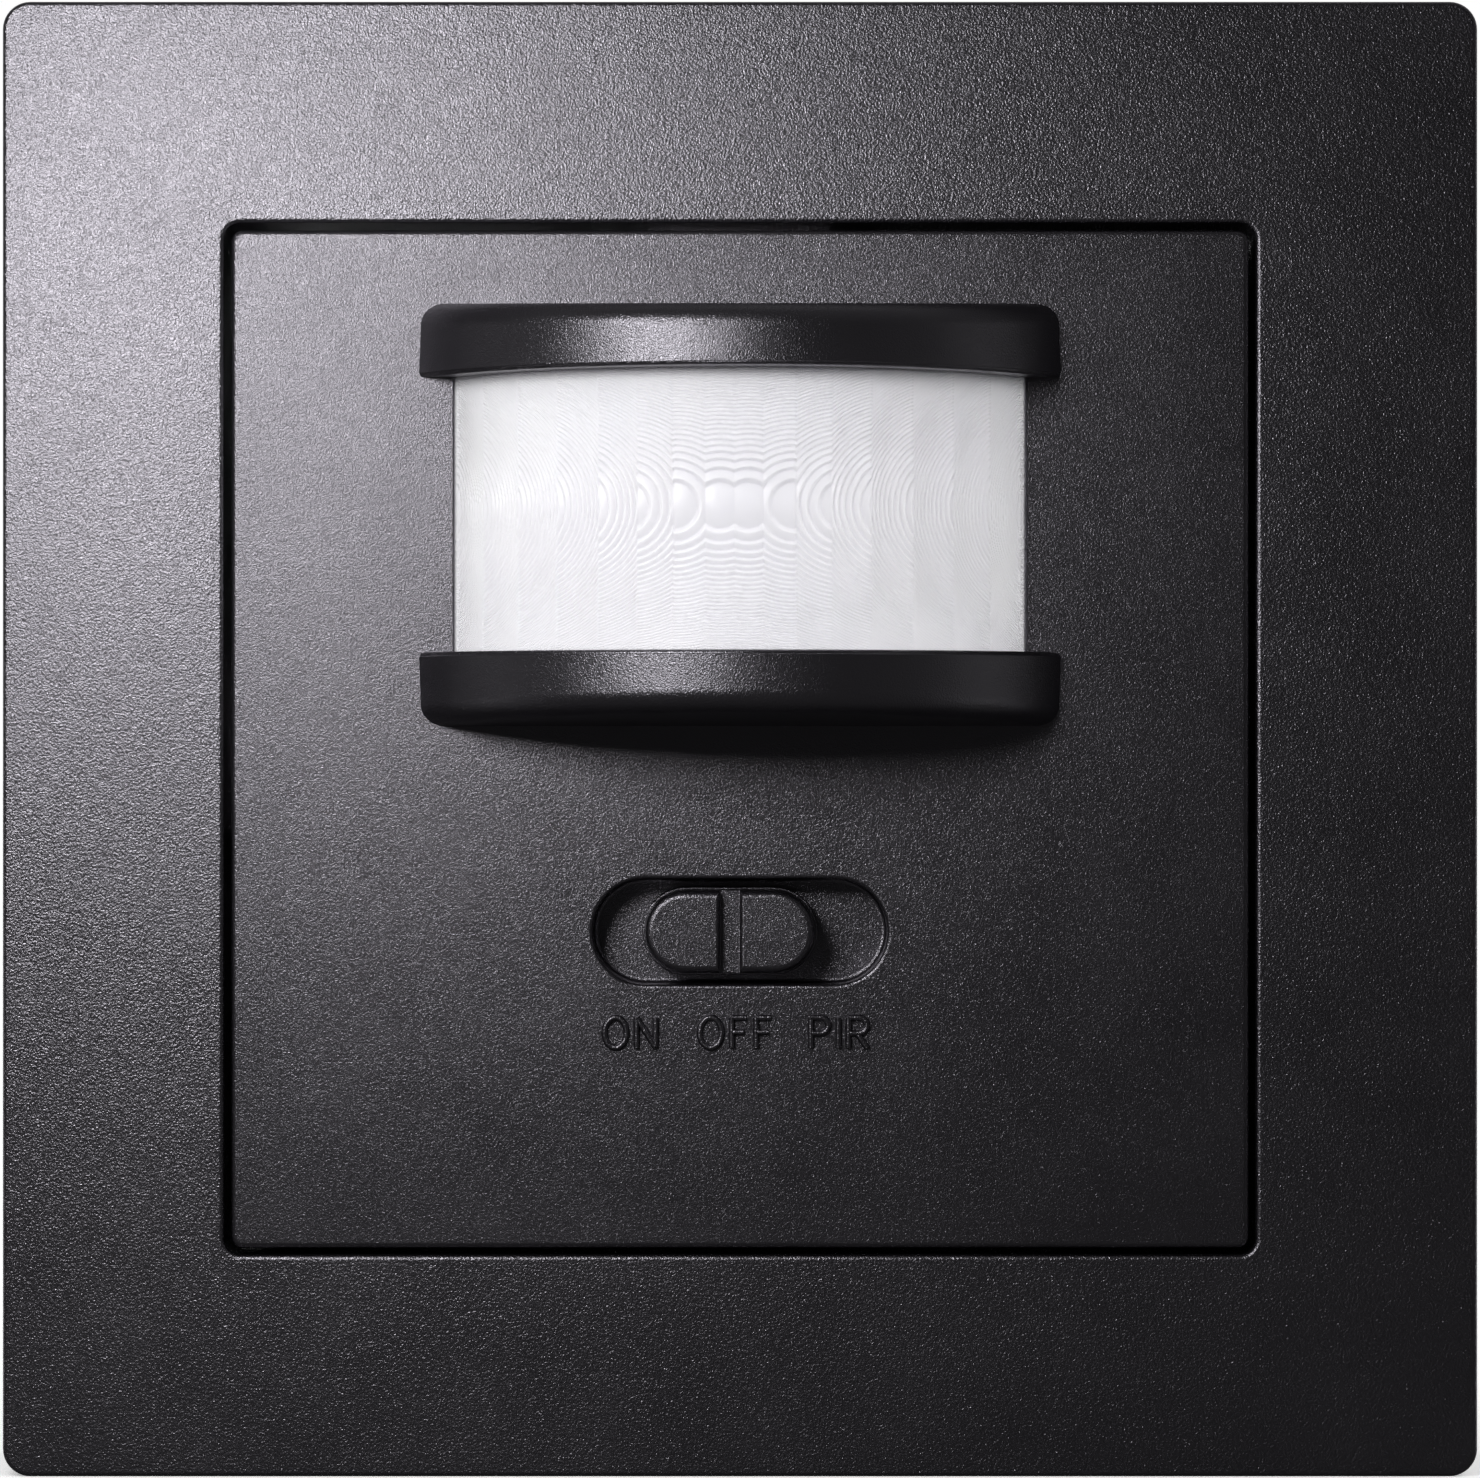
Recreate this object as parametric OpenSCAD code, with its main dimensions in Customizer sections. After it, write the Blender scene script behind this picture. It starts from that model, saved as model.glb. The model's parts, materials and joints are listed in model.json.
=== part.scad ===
// Motion sensor light switch for a flush wall box.
// A cover frame holds a centre plate with a curved lens between two hoods, and a
// three-position mode slider below them. The electronics sit in a round cup in the box.
// Each module draws its piece as seen from the front: x right, y up, z out of the wall.
// on_wall() then stands it up, so that the front faces -Y and the wall plane is Y = 0.

/* [Cover frame] */
// Outer width and height of the frame
frame_w = 80; // [78:0.5:90]
// Height of the frame's face above the wall
frame_depth = 11.7; // [11.5:0.1:13.2]
// Radius of the frame's outer corners
frame_corner_r = 1.5; // [1:0.1:4]
// Rounding of the frame's front edge
frame_edge_r = 0.25; // [0.2:0.05:0.8]
// Wall of the hollow frame
frame_wall = 2; // [1.5:0.1:2.2]
// Radius of the opening's corners
opening_corner_r = 0.9; // [0.6:0.1:2]
// Rounding of the opening's front edge
opening_edge_r = 0.25; // [0.2:0.05:0.6]
// Wall of the skirt round the opening
skirt_wall = 1.5; // [1:0.1:2]
// Length of the stops behind the middle of each side of the plate
stop_w = 10; // [8:0.5:10]
// Reach of the stops behind the plate
stop_lap = 0.6; // [0.4:0.1:0.8]
// Thickness of the stops
stop_t = 0.7; // [0.5:0.1:1]
// Length of the arms of the corner legs that stand on the yoke
leg_arm = 9; // [5:0.5:12]
// Thickness of the ribs inside the frame
rib_t = 1.2; // [0.8:0.1:1.6]
// Depth of the ribs inside the frame
rib_depth = 2.5; // [1.5:0.1:3]
// Distance of the ribs from the middle of each side
rib_spread = 17; // [10:0.5:24]

/* [Centre plate] */
// Width and height of the plate
plate_w = 55.2; // [54.5:0.1:56]
// Gap between the plate and the frame, all round
plate_gap = 0.4; // [0.3:0.01:0.8]
// Thickness of the plate
plate_t = 2; // [1.6:0.1:2.4]
// Wall of the plate's skirt
plate_wall = 1.5; // [1.2:0.1:1.6]
// Depth of the plate's skirt, from the face
plate_skirt_depth = 4.5; // [3.5:0.1:5]
// Radius of the plate's corners
plate_corner_r = 0.6; // [0.55:0.05:1.5]
// Rounding of the plate's front edge
plate_edge_r = 0.3; // [0.2:0.05:0.5]
// Width of each spring clip
clip_w = 7; // [4:0.5:9]
// Thickness of each spring clip
clip_t = 1.4; // [1:0.1:1.4]
// Distance of the clips from the middle
clip_spread = 14; // [10:0.5:17]
// Reach of a clip's hook under the inner cover
clip_hook = 0.6; // [0.4:0.1:0.8]

/* [Hoods] */
// Plan radius of the hoods at their outer edge
hood_r = 19.1; // [18.6:0.1:20]
// Height of each hood where it meets the plate
hood_h = 4; // [3.4:0.1:4.5]
// Draft of the hoods' top and bottom faces in degrees
hood_draft = 4; // [2:0.5:5]
// Rounding of the hoods' outer edge
hood_round = 1.2; // [0.6:0.1:1.4]
// Rounding of the hoods' lip over the lens
lip_round = 0.2; // [0.15:0.05:0.5]
// Clear height between the hoods
window_h = 14.9; // [12:0.1:16]
// Distance of the upper hood from the plate's top edge
hood_margin = 4; // [3.6:0.1:4.5]

/* [Lens] */
// Outer radius of the curved lens
lens_r = 17.42; // [17:0.02:17.6]
// Wall of the lens
lens_t = 0.7; // [0.5:0.05:1]
// Distance of the lens axis behind the plate's face
lens_axis_depth = 8; // [7.5:0.1:8.5]
// Clearance round the lens
lens_gap = 0.1; // [0.05:0.05:0.2]
// Height of lens hidden behind each hood
lens_tuck = 2; // [1:0.1:2.2]
// Width of the lens flange beyond the window
lens_seat = 3; // [2.6:0.1:3.4]
// Thickness of the lens flange
lens_flange_t = 0.8; // [0.6:0.1:1]
// Thickness of the lens retainer
retainer_t = 1.2; // [0.8:0.1:1.4]
// Radius of the stakes that hold the retainer
stake_r = 0.8; // [0.6:0.05:0.9]
// Radius of the melted heads of the stakes
stake_head_r = 1.4; // [1.2:0.05:1.5]
// Height of the melted heads
stake_head_h = 0.6; // [0.4:0.05:0.7]

/* [Mode slider] */
// Length of the slider's recess
slot_w = 16; // [15.8:0.1:18]
// Height of the slider's recess
slot_h = 5.73; // [5.4:0.01:6.6]
// Height of the recess above the plate's middle
slot_y = -10.45; // [-12:0.05:-9.5]
// Depth of the recess
slot_depth = 2.6; // [2:0.1:2.8]
// Thickness of the recess floor
slot_floor_t = 1.2; // [0.8:0.1:1.4]
// Rounding of the recess rim
slot_rim_r = 0.2; // [0.1:0.05:0.5]
// Fillet round the recess floor
slot_fillet_r = 0.25; // [0.1:0.05:0.4]
// Wall round the recess behind the plate
tub_wall = 1.2; // [0.8:0.1:1.6]
// Length of the knob
knob_w = 9.53; // [9.4:0.01:9.8]
// Height of the knob at its foot
knob_h = 4.77; // [4.2:0.01:5.2]
// Height of the step round the knob's foot
knob_step_h = 1; // [0.5:0.1:1.5]
// Width of that step
knob_step = 0.1; // [0.1:0.05:0.3]
// Rounding of the step's edge
knob_step_round = 0.07; // [0.05:0.01:0.09]
// Draft of the knob's sides, from step to shoulder
knob_draft = 0.1; // [0.05:0.05:0.4]
// Rounding of the knob's top edge
knob_round = 0.35; // [0.1:0.05:0.5]
// Height of the knob above the plate's face
knob_proud = 0.4; // [0:0.1:1.2]
// Width of the knob's groove
groove_w = 1.2; // [0.8:0.1:2]
// Depth of the knob's groove
groove_depth = 0.9; // [0.4:0.1:1.2]
// Rounding of the groove's edges
groove_round = 0.15; // [0.1:0.05:0.3]
// Fillet along the groove's floor
groove_fillet_r = 0.12; // [0.05:0.01:0.2]
// Rest place of the knob, off the middle, at OFF
slider_rest_x = -0.55; // [-0.6:0.05:0.4]
// Travel of the knob from OFF to ON, and from OFF to PIR
slider_travel = 2.5; // [2:0.05:2.6]
// Length of the knob's stem
stem_w = 3; // [2:0.1:3]
// Height of the knob's stem
stem_h = 1.6; // [1.2:0.1:2]
// Width of the split in the stem
stem_split = 0.6; // [0.3:0.1:0.8]
// Reach of the stem's barbs behind the carrier
stem_barb = 0.3; // [0.15:0.05:0.4]
// Running gap between the slider and the plate
slide_gap = 0.2; // [0.1:0.05:0.3]
// Thickness of the carrier
carrier_t = 1.5; // [1.2:0.1:1.6]
// Height of the carrier
carrier_h = 6; // [5:0.1:7]
// Thickness of the fork's prongs
prong_t = 1.4; // [1:0.1:2]

/* [Inner cover and yoke] */
// Gap between the inner cover and the plate's clips
cover_clip_gap = 0.5; // [0.3:0.05:0.7]
// Thickness of the inner cover
cover_t = 1.6; // [1.2:0.1:1.8]
// Corner radius of the inner cover and of the housing flange
cover_corner_r = 2; // [1:0.1:3]
// Distance of the cover screws from the inner cover's edges
screw_margin = 4.3; // [4:0.1:4.6]
// Radius of the cover screws
screw_r = 1.1; // [0.9:0.05:1.3]
// Radius of the cover screws' heads
screw_head_r = 2.1; // [1.8:0.05:2.4]
// Height of the cover screws' heads
screw_head_h = 1.2; // [0.8:0.1:1.3]
// Gap between the steel yoke and the frame's inner wall
yoke_gap = 2.5; // [1.5:0.1:3]
// Thickness of the steel yoke
yoke_t = 1.2; // [1:0.1:1.4]
// Corner radius of the yoke
yoke_corner_r = 3; // [1:0.5:6]
// Spacing of the wall box screws
box_screw_spacing = 60; // [60:0.1:60.4]
// Half the width of the slots for the wall box screws
box_slot_r = 1.9; // [1.7:0.05:2.1]
// Length of those slots
box_slot_w = 6.4; // [5:0.1:6.6]
// Length of the yoke's folded edges
yoke_fold_w = 44; // [30:1:56]
// Height of the yoke's folded edges, from the wall
yoke_fold_h = 3.6; // [2.5:0.1:5]

/* [Rear housing] */
// Radius of the cup
cup_r = 24; // [23.8:0.1:24.2]
// Wall of the cup
cup_wall = 1.6; // [1.4:0.1:1.8]
// Gap between the cup and the yoke
cup_gap = 0.3; // [0.2:0.05:0.4]
// Setback of the cup's flange from the inner cover's edge
cup_flange_setback = 1; // [0.8:0.1:1.2]
// Thickness of the cup's flange
cup_flange_t = 1.2; // [1:0.1:1.4]
// Width of the ledge under the sensor board
ledge_w = 1.1; // [0.9:0.05:1.2]
// Height of the ledge under the sensor board
ledge_h = 1.6; // [1:0.1:2.4]
// Height of the pads under the power board
pad_h = 1.6; // [1.4:0.1:3]
// Radius of the pads under the power board
pad_r = 1.5; // [1:0.1:2]

/* [Boards] */
// Thickness of both boards
board_t = 1.6; // [1.4:0.1:1.8]
// Gap between a board and the cup
board_gap = 0.3; // [0.2:0.05:0.4]
// Depth of the sensor board's face behind the wall plane
board_drop = 1.8; // [1.6:0.1:2.2]
// Clear space between the two boards
board_space = 16.6; // [16:0.1:20]
// Radius of the component leads
lead_r = 0.35; // [0.25:0.05:0.4]
// Clearance round leads and pins in their holes
lead_gap = 0.1; // [0.05:0.05:0.15]
// Length of lead left behind a board
lead_tail = 1; // [0.6:0.1:1.2]

/* [Sensor] */
// Radius of the sensor's can
can_r = 4.15; // [3.9:0.05:4.3]
// Height of the sensor's can
can_h = 4.2; // [3.9:0.1:4.4]
// Wall of the sensor's can
can_t = 0.25; // [0.2:0.05:0.35]
// Width of the rim at the foot of the can
can_rim = 0.45; // [0.3:0.05:0.5]
// Width of the window in the can
ir_window_w = 4; // [3:0.1:4.4]
// Height of the window in the can
ir_window_h = 3.2; // [2.4:0.1:3.6]
// Margin of the filter beyond the window
ir_margin = 0.5; // [0.3:0.05:0.7]
// Thickness of the filter
ir_t = 0.5; // [0.3:0.05:0.8]
// Radius of the light sensor
ldr_r = 2.5; // [2:0.1:3]
// Thickness of the light sensor
ldr_t = 2; // [1.4:0.1:2.2]
// Distance of the light sensor from the middle
ldr_x = 12.5; // [11.5:0.1:13]
// Height of the light sensor above the plate's middle
ldr_y = 11; // [10:0.1:12]

/* [Slide switch] */
// Length of the switch's steel shell
switch_w = 16.4; // [16:0.1:18]
// Height of the switch's steel shell
switch_h = 6.4; // [6:0.1:7]
// Sheet of the switch's steel shell
switch_sheet = 0.4; // [0.3:0.05:0.5]
// Gap between the switch and the inner cover
switch_head_gap = 0.4; // [0.3:0.05:0.6]
// Width of the switch lever
lever_w = 3; // [3:0.1:3.4]
// Height of the switch lever
lever_h = 2.4; // [2:0.1:3]
// Reach of the fork's prongs past the lever's tip
fork_hold = 0.8; // [0.6:0.1:1]
// Thickness of the contact spring and of the contact heads
contact_t = 0.25; // [0.2:0.05:0.3]

/* [Trimmers] */
// Width of a trimmer
trimmer_w = 6.6; // [6:0.1:7]
// Height of a trimmer's body
trimmer_h = 2.6; // [2.2:0.1:2.8]
// Radius of a trimmer's rotor
rotor_r = 2.3; // [2:0.05:2.5]
// Thickness of a trimmer's rotor
rotor_t = 1.2; // [0.9:0.1:1.3]
// Radius of the rotor's spigot
spigot_r = 1.1; // [0.8:0.05:1.3]
// Running clearance of the spigot
spigot_gap = 0.05; // [0.02:0.01:0.08]
// Distance of the trimmers from the middle
trimmer_spread = 12; // [11:0.1:13]
// Height of the trimmers above the plate's middle
trimmer_y = 0.5; // [-0.5:0.1:1.5]

/* [Power electronics] */
// Length of the relay
relay_w = 20; // [18:0.1:20.4]
// Breadth of the relay
relay_l = 10.2; // [9:0.1:11]
// Gap between the relay and the sensor board
relay_head_gap = 2; // [1.8:0.1:4]
// Length of the film capacitor
film_w = 18; // [15:0.5:18]
// Breadth of the film capacitor
film_l = 6; // [5:0.1:6.2]
// Height of the film capacitor
film_h = 12; // [8:0.5:13]
// Radius of the large smoothing capacitor
large_cap_r = 4; // [3:0.05:4.2]
// Height of the large smoothing capacitor
large_cap_h = 12; // [8:0.5:13]
// Radius of the small smoothing capacitor
small_cap_r = 3.15; // [2.5:0.05:3.4]
// Height of the small smoothing capacitor
small_cap_h = 11; // [7:0.5:13]
// Radius of the varistor
varistor_r = 3.6; // [3:0.1:4.5]
// Thickness of the varistor
varistor_t = 3.2; // [2.6:0.1:4]
// Radius of the fuse
fuse_r = 1.8; // [1.4:0.1:2]
// Length of the fuse
fuse_w = 8; // [6:0.5:9]
// Radius of each diode
diode_r = 1.3; // [1:0.05:1.4]
// Length of each diode
diode_w = 5; // [4:0.1:5.2]

/* [Terminals] */
// Number of terminals
terminal_count = 3; // [2:1:3]
// Spacing of the terminals
terminal_pitch = 7.6; // [7.2:0.1:7.8]
// Height of the terminal block on the board
terminal_h = 12; // [11.5:0.1:12.5]
// Height of the feet that lift the block off the board
terminal_foot_h = 1.3; // [1.3:0.1:1.6]
// Depth of the terminal block behind the board, with its feet
terminal_depth = 11; // [11:0.1:13]
// Height of the terminal block's middle
terminal_y = -11; // [-11.2:0.1:-10.6]
// Radius of a wire entry
wire_r = 1.5; // [1.2:0.05:1.6]
// Length of the round wire entry before the clamp
wire_entry = 2.5; // [2:0.1:3]
// Width of a clamp cage
cage_w = 5; // [4.6:0.1:5.2]
// Wall of a clamp cage
cage_t = 0.8; // [0.6:0.05:1]
// Radius of a clamp screw
clamp_screw_r = 1.45; // [1.2:0.05:1.5]
// Radius of a clamp screw's head
clamp_head_r = 2; // [1.8:0.05:2.1]

/* [Hidden] */
$fn = 64;
small_fn = 32;
over = 1;
seat_gap = 0.1;

face_z = frame_depth;
opening_w = plate_w + 2 * plate_gap;
plate_rear = face_z - plate_t;
plate_skirt_z = face_z - plate_skirt_depth;
stop_front = plate_skirt_z - 3 * seat_gap;
skirt_z = stop_front - stop_t;
axis_z = face_z - lens_axis_depth;

hood_top = plate_w / 2 - hood_margin;
lip_y = hood_top - hood_h;
window_y = lip_y - window_h / 2;
hood_depth = 2 * hood_h;
hood_lean = 0.4;
hood_front = (hood_r - lens_axis_depth) * cos(hood_draft) - hood_round * sin(hood_draft);
lip_inset = 0.05;
lip_axis_depth = lens_axis_depth / cos(hood_draft) + hood_h * tan(hood_draft);
hood_lip_r = lip_axis_depth + hood_front - lip_inset;
cavity_r = lens_r + lens_gap;
lens_h = window_h + 2 * lens_tuck;
window_rear = sqrt(pow(cavity_r, 2) - pow(plate_rear - axis_z, 2));
flange_w = 2 * (window_rear + lens_seat);
flange_h = lens_h + 2 * lens_gap + 2 * lens_seat;
flange_z = plate_rear - lens_flange_t;
retainer_z = flange_z - retainer_t;
stake_x = flange_w / 2 - lens_seat / 2;
stake_y = flange_h / 2 - lens_seat / 2;

floor_z = face_z - slot_depth;
floor_rear = floor_z - slot_floor_t;
knob_foot = floor_z + slide_gap;
knob_top = face_z + knob_proud;
stem_slot_gap = 0.3;
stem_slot_w = stem_w + 2 * slider_travel + 2 * stem_slot_gap;
stem_slot_h = stem_h + 2 * stem_slot_gap;
carrier_front = floor_rear - slide_gap;
carrier_rear = carrier_front - carrier_t;
carrier_lap = 0.4;
carrier_w = stem_slot_w + 2 * slider_travel + 2 * carrier_lap;
barb_h = 0.5;
stem_end = carrier_rear - seat_gap - barb_h;
lever_tip = stem_end - 2 * slide_gap;
prong_end = lever_tip - fork_hold;
rail_t = 1.2;

clip_y = plate_w / 2 - seat_gap - clip_t;
cover_w = 2 * (clip_y - cover_clip_gap);
screw_spread = cover_w / 2 - screw_margin;
cup_flange_w = cover_w - 2 * cup_flange_setback;
yoke_w = frame_w - 2 * frame_wall - 2 * yoke_gap;
yoke_opening_r = cup_r + cup_gap;
flange_front = yoke_t + cup_flange_t;
cover_front = flange_front + cover_t;
cover_gap = 0.4;

board_front = -board_drop;
board_rear = board_front - board_t;
board_r = cup_r - cup_wall - board_gap;
ledge_r = cup_r - cup_wall - ledge_w;
power_front = board_rear - board_space;
power_rear = power_front - board_t;
power_r = ledge_r - board_gap;
cup_floor = power_rear - pad_h;
cup_rear = cup_floor - cup_wall;
pad_ring = cup_r - cup_wall - pad_r - 2 * board_gap - ledge_w;

pin_gap = 0.05;
can_foot = board_front + 2 * seat_gap;
can_top = can_foot + can_h;
rim_h = 0.5;
pir_pin_ring = 2.54;
pir_pins = [for (a = [0, 120, 240]) pir_pin_ring * [cos(a), sin(a)] + [0, window_y]];
ldr_top = flange_front - 2 * seat_gap;
ldr_at = [ldr_x, ldr_y];
ldr_pins = [for (s = [-1, 1]) ldr_at + [s * ldr_r / 2, 0]];

switch_at = [slider_rest_x, slot_y];
switch_top = flange_front - switch_head_gap;
switch_foot = board_front + seat_gap;
switch_base_h = 1.2;
switch_base_top = switch_foot + switch_base_h;
contact_gap = 0.1;
contact_top = switch_base_top + 2 * contact_t + contact_gap;
actuator_w = 6.4;
actuator_top = switch_top - switch_sheet - contact_gap;
terminal_xs = [-1.5, -0.5, 0.5, 1.5] * slider_travel;
switch_pins = [for (x = terminal_xs) switch_at + [x, 0]];

trimmer_places = [[-trimmer_spread, trimmer_y], [trimmer_spread, trimmer_y]];
trimmer_foot = board_front + seat_gap;
trimmer_top = trimmer_foot + trimmer_h;
rotor_foot = trimmer_top + seat_gap;
spigot_h = 1.4;
trimmer_leads = trimmer_w * [[-0.35, -0.3], [0.35, -0.3], [0, 0.35]];
trimmer_pins = [for (at = trimmer_places, lead = trimmer_leads) at + lead];

pin_pitch = 2.54;
link_count = 4;
link_edge = 3.1;
link_y = ledge_r - link_edge;
link_strip = [link_count * pin_pitch, 2.4, 2.5];
link_pins_at = [for (i = [0:link_count - 1]) [(i - (link_count - 1) / 2) * pin_pitch, link_y]];

relay_at = [0, 7.5];
relay_h = board_space - relay_head_gap;
relay_leads = [[-0.4, 0.3], [-0.4, -0.3], [0.1, 0.3], [0.1, -0.3], [0.42, 0]];
relay_pins = [for (p = relay_leads) relay_at + [p.x * relay_w, p.y * relay_l]];
film_at = [0, -4.2];
film_pins = [for (s = [-1, 1]) film_at + [s * 0.42 * film_w, 0]];
cap_at = [[14.6, -3], [14.8, 7]];
cap_r = [large_cap_r, small_cap_r];
cap_h = [large_cap_h, small_cap_h];
cap_pitch = 2.5;
cap_pins = [for (at = cap_at, s = [-1, 1]) at + [0, s * cap_pitch / 2]];
varistor_at = [-14.6, -2.2];
varistor_pins = [for (s = [-1, 1]) varistor_at + [0, s * varistor_r * 0.7]];
fuse_at = [-13.2, 7.7];
fuse_lead_w = 1;
fuse_pins = [for (s = [-1, 1]) fuse_at + [0, s * (fuse_w / 2 + fuse_lead_w)]];
diode_pitch = 3.4;
diode_y = -15.6;
diode_at = [for (i = [-1.5:1.5]) [i * diode_pitch, diode_y]];
diode_pins = [for (at = diode_at, s = [-1, 1]) at + [0, s * (diode_w / 2 - 2 * lead_r)]];
power_leads = concat(relay_pins, film_pins, cap_pins, varistor_pins, fuse_pins, diode_pins);

block_margin = 0.6;
block_w = terminal_count * terminal_pitch + 2 * block_margin;
block_front = power_rear - terminal_foot_h;
block_rear = power_rear - terminal_depth;
block_foot = terminal_y - terminal_h / 2;
clamp_head_h = 1.4;
clamp_recess = 0.5;
cage_gap = 0.1;
cage_h = 6;
cage_y = block_foot + wire_entry + cage_gap + cage_h / 2;
clamp_head_front = block_rear + clamp_recess + clamp_head_h;
cage_rear = clamp_head_front + seat_gap;
clamp_end = cage_rear + 2 * cage_t;
wire_z = clamp_end + wire_r;
cage_front = wire_z + wire_r + cage_t;
terminal_xs_at = [for (i = [0:terminal_count - 1]) (i - (terminal_count - 1) / 2) * terminal_pitch];
terminal_pins = [for (x = terminal_xs_at) [x, cage_y]];

anthracite = "#2c2b30";
knob_black = "#252429";
lens_white = "#f1f0ee";
board_green = "#2f6b46";
grey_plastic = "#d4d4d0";
black_plastic = "#1f1f21";
steel = "#b8bcc0";
brass = "#c9a24b";
tin = "#cfd2d4";

// Stands a piece up against the wall
module on_wall() {
    rotate([90, 0, 0]) children();
}

// Extrudes an outline between two heights above the wall
module between(low, high) {
    translate([0, 0, low]) linear_extrude(high - low) children();
}

// A round bar between two heights above the wall
module bar(r, low, high) {
    translate([0, 0, low]) cylinder(r = r, h = high - low);
}

// A block centred on its place, between two heights above the wall
module block(size, low, high) {
    between(low, high) square(size, center = true);
}

module quarter_disc(r) {
    intersection() {
        circle(r);
        square(r);
    }
}

module on_corners() {
    for (x = [0, 1], y = [0, 1])
        mirror([x, 0, 0]) mirror([0, y, 0]) children();
}

// A rectangle with round corners
module round_rect(w, h, r) {
    square([w - 2 * r, h], center = true);
    square([w, h - 2 * r], center = true);
    on_corners() translate([w / 2 - r, h / 2 - r]) quarter_disc(r);
}

// A slot outline with full round ends
module slot_outline(w, h) {
    square([w - h, h], center = true);
    for (s = [-1, 1])
        translate([s * (w - h) / 2, 0]) circle(h / 2);
}

// Edge of a slab, drawn out from the corner's centre, with a round front edge
module edge_section(r, edge_r, depth) {
    square([r - edge_r, depth]);
    square([r, depth - edge_r]);
    translate([r - edge_r, depth - edge_r]) quarter_disc(edge_r);
}

// Widening of a cut towards its mouth, for a round rim
module rim_flare(edge_r) {
    difference() {
        square(edge_r);
        translate([edge_r, 0]) circle(edge_r);
    }
}

// Edge of a cut with a round rim, running past the face
module flare_section(r, edge_r, depth) {
    square([r, depth + over]);
    translate([r, depth - edge_r]) rim_flare(edge_r);
    translate([0, depth]) square([r + edge_r, over]);
}

// Edge of a recess, with a fillet at the floor and a round rim
module recess_section(r, fillet_r, edge_r, depth) {
    square([r - fillet_r, fillet_r]);
    translate([r - fillet_r, fillet_r]) mirror([0, 1]) quarter_disc(fillet_r);
    translate([0, fillet_r]) flare_section(r, edge_r, depth - fillet_r);
}

// A slab with round corners whose edge has the given section
module swept_slab(w, h, r, depth) {
    translate([r - w / 2, r - h / 2, 0]) cube([w - 2 * r, h - 2 * r, depth]);
    on_corners() translate([w / 2 - r, h / 2 - r, 0]) rotate_extrude(angle = 90) children();
    for (s = [0, 1]) {
        mirror([s, 0, 0]) translate([w / 2 - r, 0, 0])
            rotate([90, 0, 0]) linear_extrude(h - 2 * r, center = true) children();
        mirror([0, s, 0]) translate([0, h / 2 - r, 0])
            rotate([90, 0, 90]) linear_extrude(w - 2 * r, center = true) children();
    }
}

// A round-ended form with the given half section, its ends a span apart
module racetrack(span) {
    for (s = [0, 1])
        mirror([s, 0, 0]) translate([span / 2, 0, 0])
            rotate([0, 0, -90]) rotate_extrude(angle = 180) children();
    rotate([90, 0, 90]) linear_extrude(span, center = true) {
        children();
        mirror([1, 0]) children();
    }
}

module drill(points, r, low, high) {
    for (p = points)
        translate([p.x, p.y, 0]) bar(r, low - over, high + over);
}

module leads(points, r, low, high) {
    for (p = points)
        translate([p.x, p.y, 0]) bar(r, low, high);
}

// Shells and the parts on the front

module frame_legs_outline() {
    intersection() {
        difference() {
            round_rect(opening_w + 2 * skirt_wall, opening_w + 2 * skirt_wall, opening_corner_r + skirt_wall);
            round_rect(opening_w, opening_w, opening_corner_r);
        }
        on_corners() translate([opening_w / 2 + skirt_wall - leg_arm, opening_w / 2 + skirt_wall - leg_arm])
            square(leg_arm);
    }
}

module frame_ribs_outline() {
    for (a = [0, 90], s = [-1, 1])
        rotate(a) translate([s * rib_spread, 0]) square([rib_t, frame_w], center = true);
}

module frame_hollow() {
    inner_w = frame_w - 2 * frame_wall;
    skirt_w = opening_w + 2 * skirt_wall;
    hollow_top = face_z - frame_wall;
    rib_end = hollow_top - rib_depth;
    between(rib_end, hollow_top) difference() {
        round_rect(inner_w, inner_w, frame_corner_r / 2);
        round_rect(skirt_w, skirt_w, opening_corner_r + skirt_wall);
        frame_ribs_outline();
    }
    between(skirt_z, rib_end) difference() {
        round_rect(inner_w, inner_w, frame_corner_r / 2);
        round_rect(skirt_w, skirt_w, opening_corner_r + skirt_wall);
    }
    between(yoke_t + seat_gap, skirt_z) difference() {
        round_rect(inner_w, inner_w, frame_corner_r / 2);
        frame_legs_outline();
    }
    between(-over, yoke_t + seat_gap) round_rect(inner_w, inner_w, frame_corner_r / 2);
}

// Stops that back the middle of each side of the plate and close the view through its gap
module frame_stops() {
    stop_in = plate_w / 2 - stop_lap;
    stop_out = opening_w / 2 + skirt_wall / 2;
    for (a = [0 : 90 : 270])
        rotate(a) translate([0, (stop_in + stop_out) / 2, 0])
            block([stop_w, stop_out - stop_in], skirt_z, stop_front);
}

module cover_frame() {
    color(anthracite)
    union() {
        difference() {
            swept_slab(frame_w, frame_w, frame_corner_r, frame_depth)
                edge_section(frame_corner_r, frame_edge_r, frame_depth);
            translate([0, 0, -over])
                swept_slab(opening_w, opening_w, opening_corner_r, frame_depth + 2 * over)
                flare_section(opening_corner_r, opening_edge_r, frame_depth + over);
            frame_hollow();
        }
        frame_stops();
    }
}

// Edge of a hood. Its wall widens away from the round edge, so that it stands upright
// but for a slight lean, once the hood is tilted
module hood_section() {
    wall = hood_depth - hood_round;
    edge_section(hood_r, hood_round, hood_depth);
    polygon([
        [hood_r - hood_round, 0],
        [hood_r + wall * tan(hood_draft - hood_lean), 0],
        [hood_r, wall],
        [hood_r - hood_round, wall]
    ]);
}

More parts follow.
